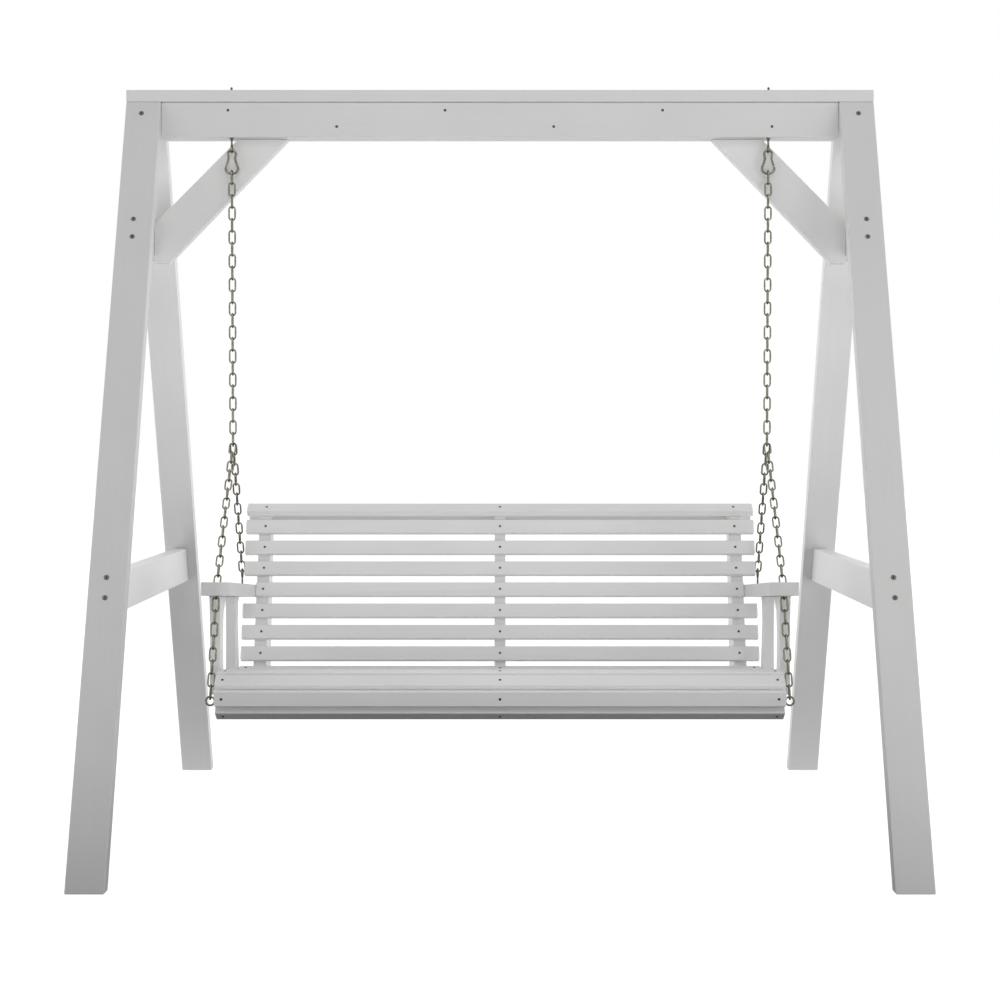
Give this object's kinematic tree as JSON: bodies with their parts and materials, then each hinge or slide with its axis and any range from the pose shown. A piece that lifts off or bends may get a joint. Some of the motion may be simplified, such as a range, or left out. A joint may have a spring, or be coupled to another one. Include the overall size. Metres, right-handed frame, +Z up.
{
  "type": "porch swing with stand",
  "caption": "Slatted two-person porch swing with curved seat and rolled back, hung on chains with snap hooks from the beam of a free-standing A-frame stand.",
  "frame": {"origin": "centre of the four feet at floor level, under the middle of the beam", "axes": "+X along the beam to the right, -Y to the front that a seated person faces, +Z up"},
  "size_m": [1.929, 1.66, 1.917],
  "materials": {
    "stand_boards": "white paint, satin, grain showing through",
    "swing_slats": "white paint, satin, eased edges",
    "swing_ribs": "white paint, satin",
    "arm_boards": "white paint, satin",
    "zinc_chain": "bright zinc plate, satin",
    "zinc_hardware": "bright zinc plate, satin"
  },
  "bodies": {
    "stand": {"beam_front_board": "stand_boards", "beam_rear_board": "stand_boards", "top_plate": "stand_boards", "front_leg_left": "stand_boards", "front_leg_right": "stand_boards", "rear_leg_left": "stand_boards", "rear_leg_right": "stand_boards", "side_rail_left": "stand_boards", "side_rail_right": "stand_boards", "collar_tie_left": "stand_boards", "collar_tie_right": "stand_boards", "knee_brace_left": "stand_boards", "knee_brace_right": "stand_boards", "beam_eye_bolt_left": "zinc_hardware", "beam_eye_bolt_right": "zinc_hardware"},
    "hanger_left": {"snap_hook_left": "zinc_hardware", "upper_chain_left": "zinc_chain"},
    "hanger_right": {"snap_hook_right": "zinc_hardware", "upper_chain_right": "zinc_chain"},
    "seat": {"seat_rib_left": "swing_ribs", "seat_rib_right": "swing_ribs", "seat_rib_centre": "swing_ribs", "back_rib_left": "swing_ribs", "back_rib_right": "swing_ribs", "back_rib_centre": "swing_ribs", "seat_slat_01": "swing_slats", "seat_slat_02": "swing_slats", "seat_slat_03": "swing_slats", "seat_slat_04": "swing_slats", "seat_slat_05": "swing_slats", "seat_slat_06": "swing_slats", "seat_slat_07": "swing_slats", "seat_slat_08": "swing_slats", "seat_slat_09": "swing_slats", "seat_slat_10": "swing_slats", "seat_slat_11": "swing_slats", "back_slat_1": "swing_slats", "back_slat_2": "swing_slats", "back_slat_3": "swing_slats", "back_slat_4": "swing_slats", "back_slat_5": "swing_slats", "back_slat_6": "swing_slats", "back_slat_7": "swing_slats", "back_slat_8": "swing_slats", "back_slat_9": "swing_slats", "arm_left": "arm_boards", "arm_right": "arm_boards", "front_arm_post_left": "arm_boards", "front_arm_post_right": "arm_boards", "rear_arm_post_left": "arm_boards", "rear_arm_post_right": "arm_boards", "front_seat_eye_left": "zinc_hardware", "front_seat_eye_right": "zinc_hardware", "rear_arm_eye_left": "zinc_hardware", "rear_arm_eye_right": "zinc_hardware", "lower_chain_left": "zinc_chain", "lower_chain_right": "zinc_chain"},
    "gate_left": {"hook_gate_left": "zinc_hardware"},
    "gate_right": {"hook_gate_right": "zinc_hardware"}
  },
  "joints": [
    {"name": "swing_left", "type": "hinge", "parent": "stand", "child": "hanger_left", "pos_m": [-0.696, -0.019, 1.7575], "axis": [1, 0, 0], "range_deg": [-20, 4]},
    {"name": "swing_right", "type": "hinge", "parent": "stand", "child": "hanger_right", "pos_m": [0.696, -0.019, 1.7575], "axis": [1, 0, 0], "range_deg": [-20, 4]},
    {"name": "seat_tilt", "type": "hinge", "parent": "hanger_left", "child": "seat", "pos_m": [-0.696, -0.019, 0.99394], "axis": [1, 0, 0], "range_deg": [-8, 8]},
    {"name": "gate_left_turn", "type": "hinge", "parent": "hanger_left", "child": "gate_left", "pos_m": [-0.71043, -0.019, 1.713], "axis": [0, 1, 0], "range_deg": [0, 20], "stiffness_Nm_per_rad": 0.05, "springref_deg": -17.19},
    {"name": "gate_right_turn", "type": "hinge", "parent": "hanger_right", "child": "gate_right", "pos_m": [0.71043, -0.019, 1.713], "axis": [0, -1, 0], "range_deg": [0, 20], "stiffness_Nm_per_rad": 0.05, "springref_deg": -17.19}
  ],
  "couplings": [
    {"joint": "swing_right", "follows": "swing_left", "ratio": 1}
  ]
}
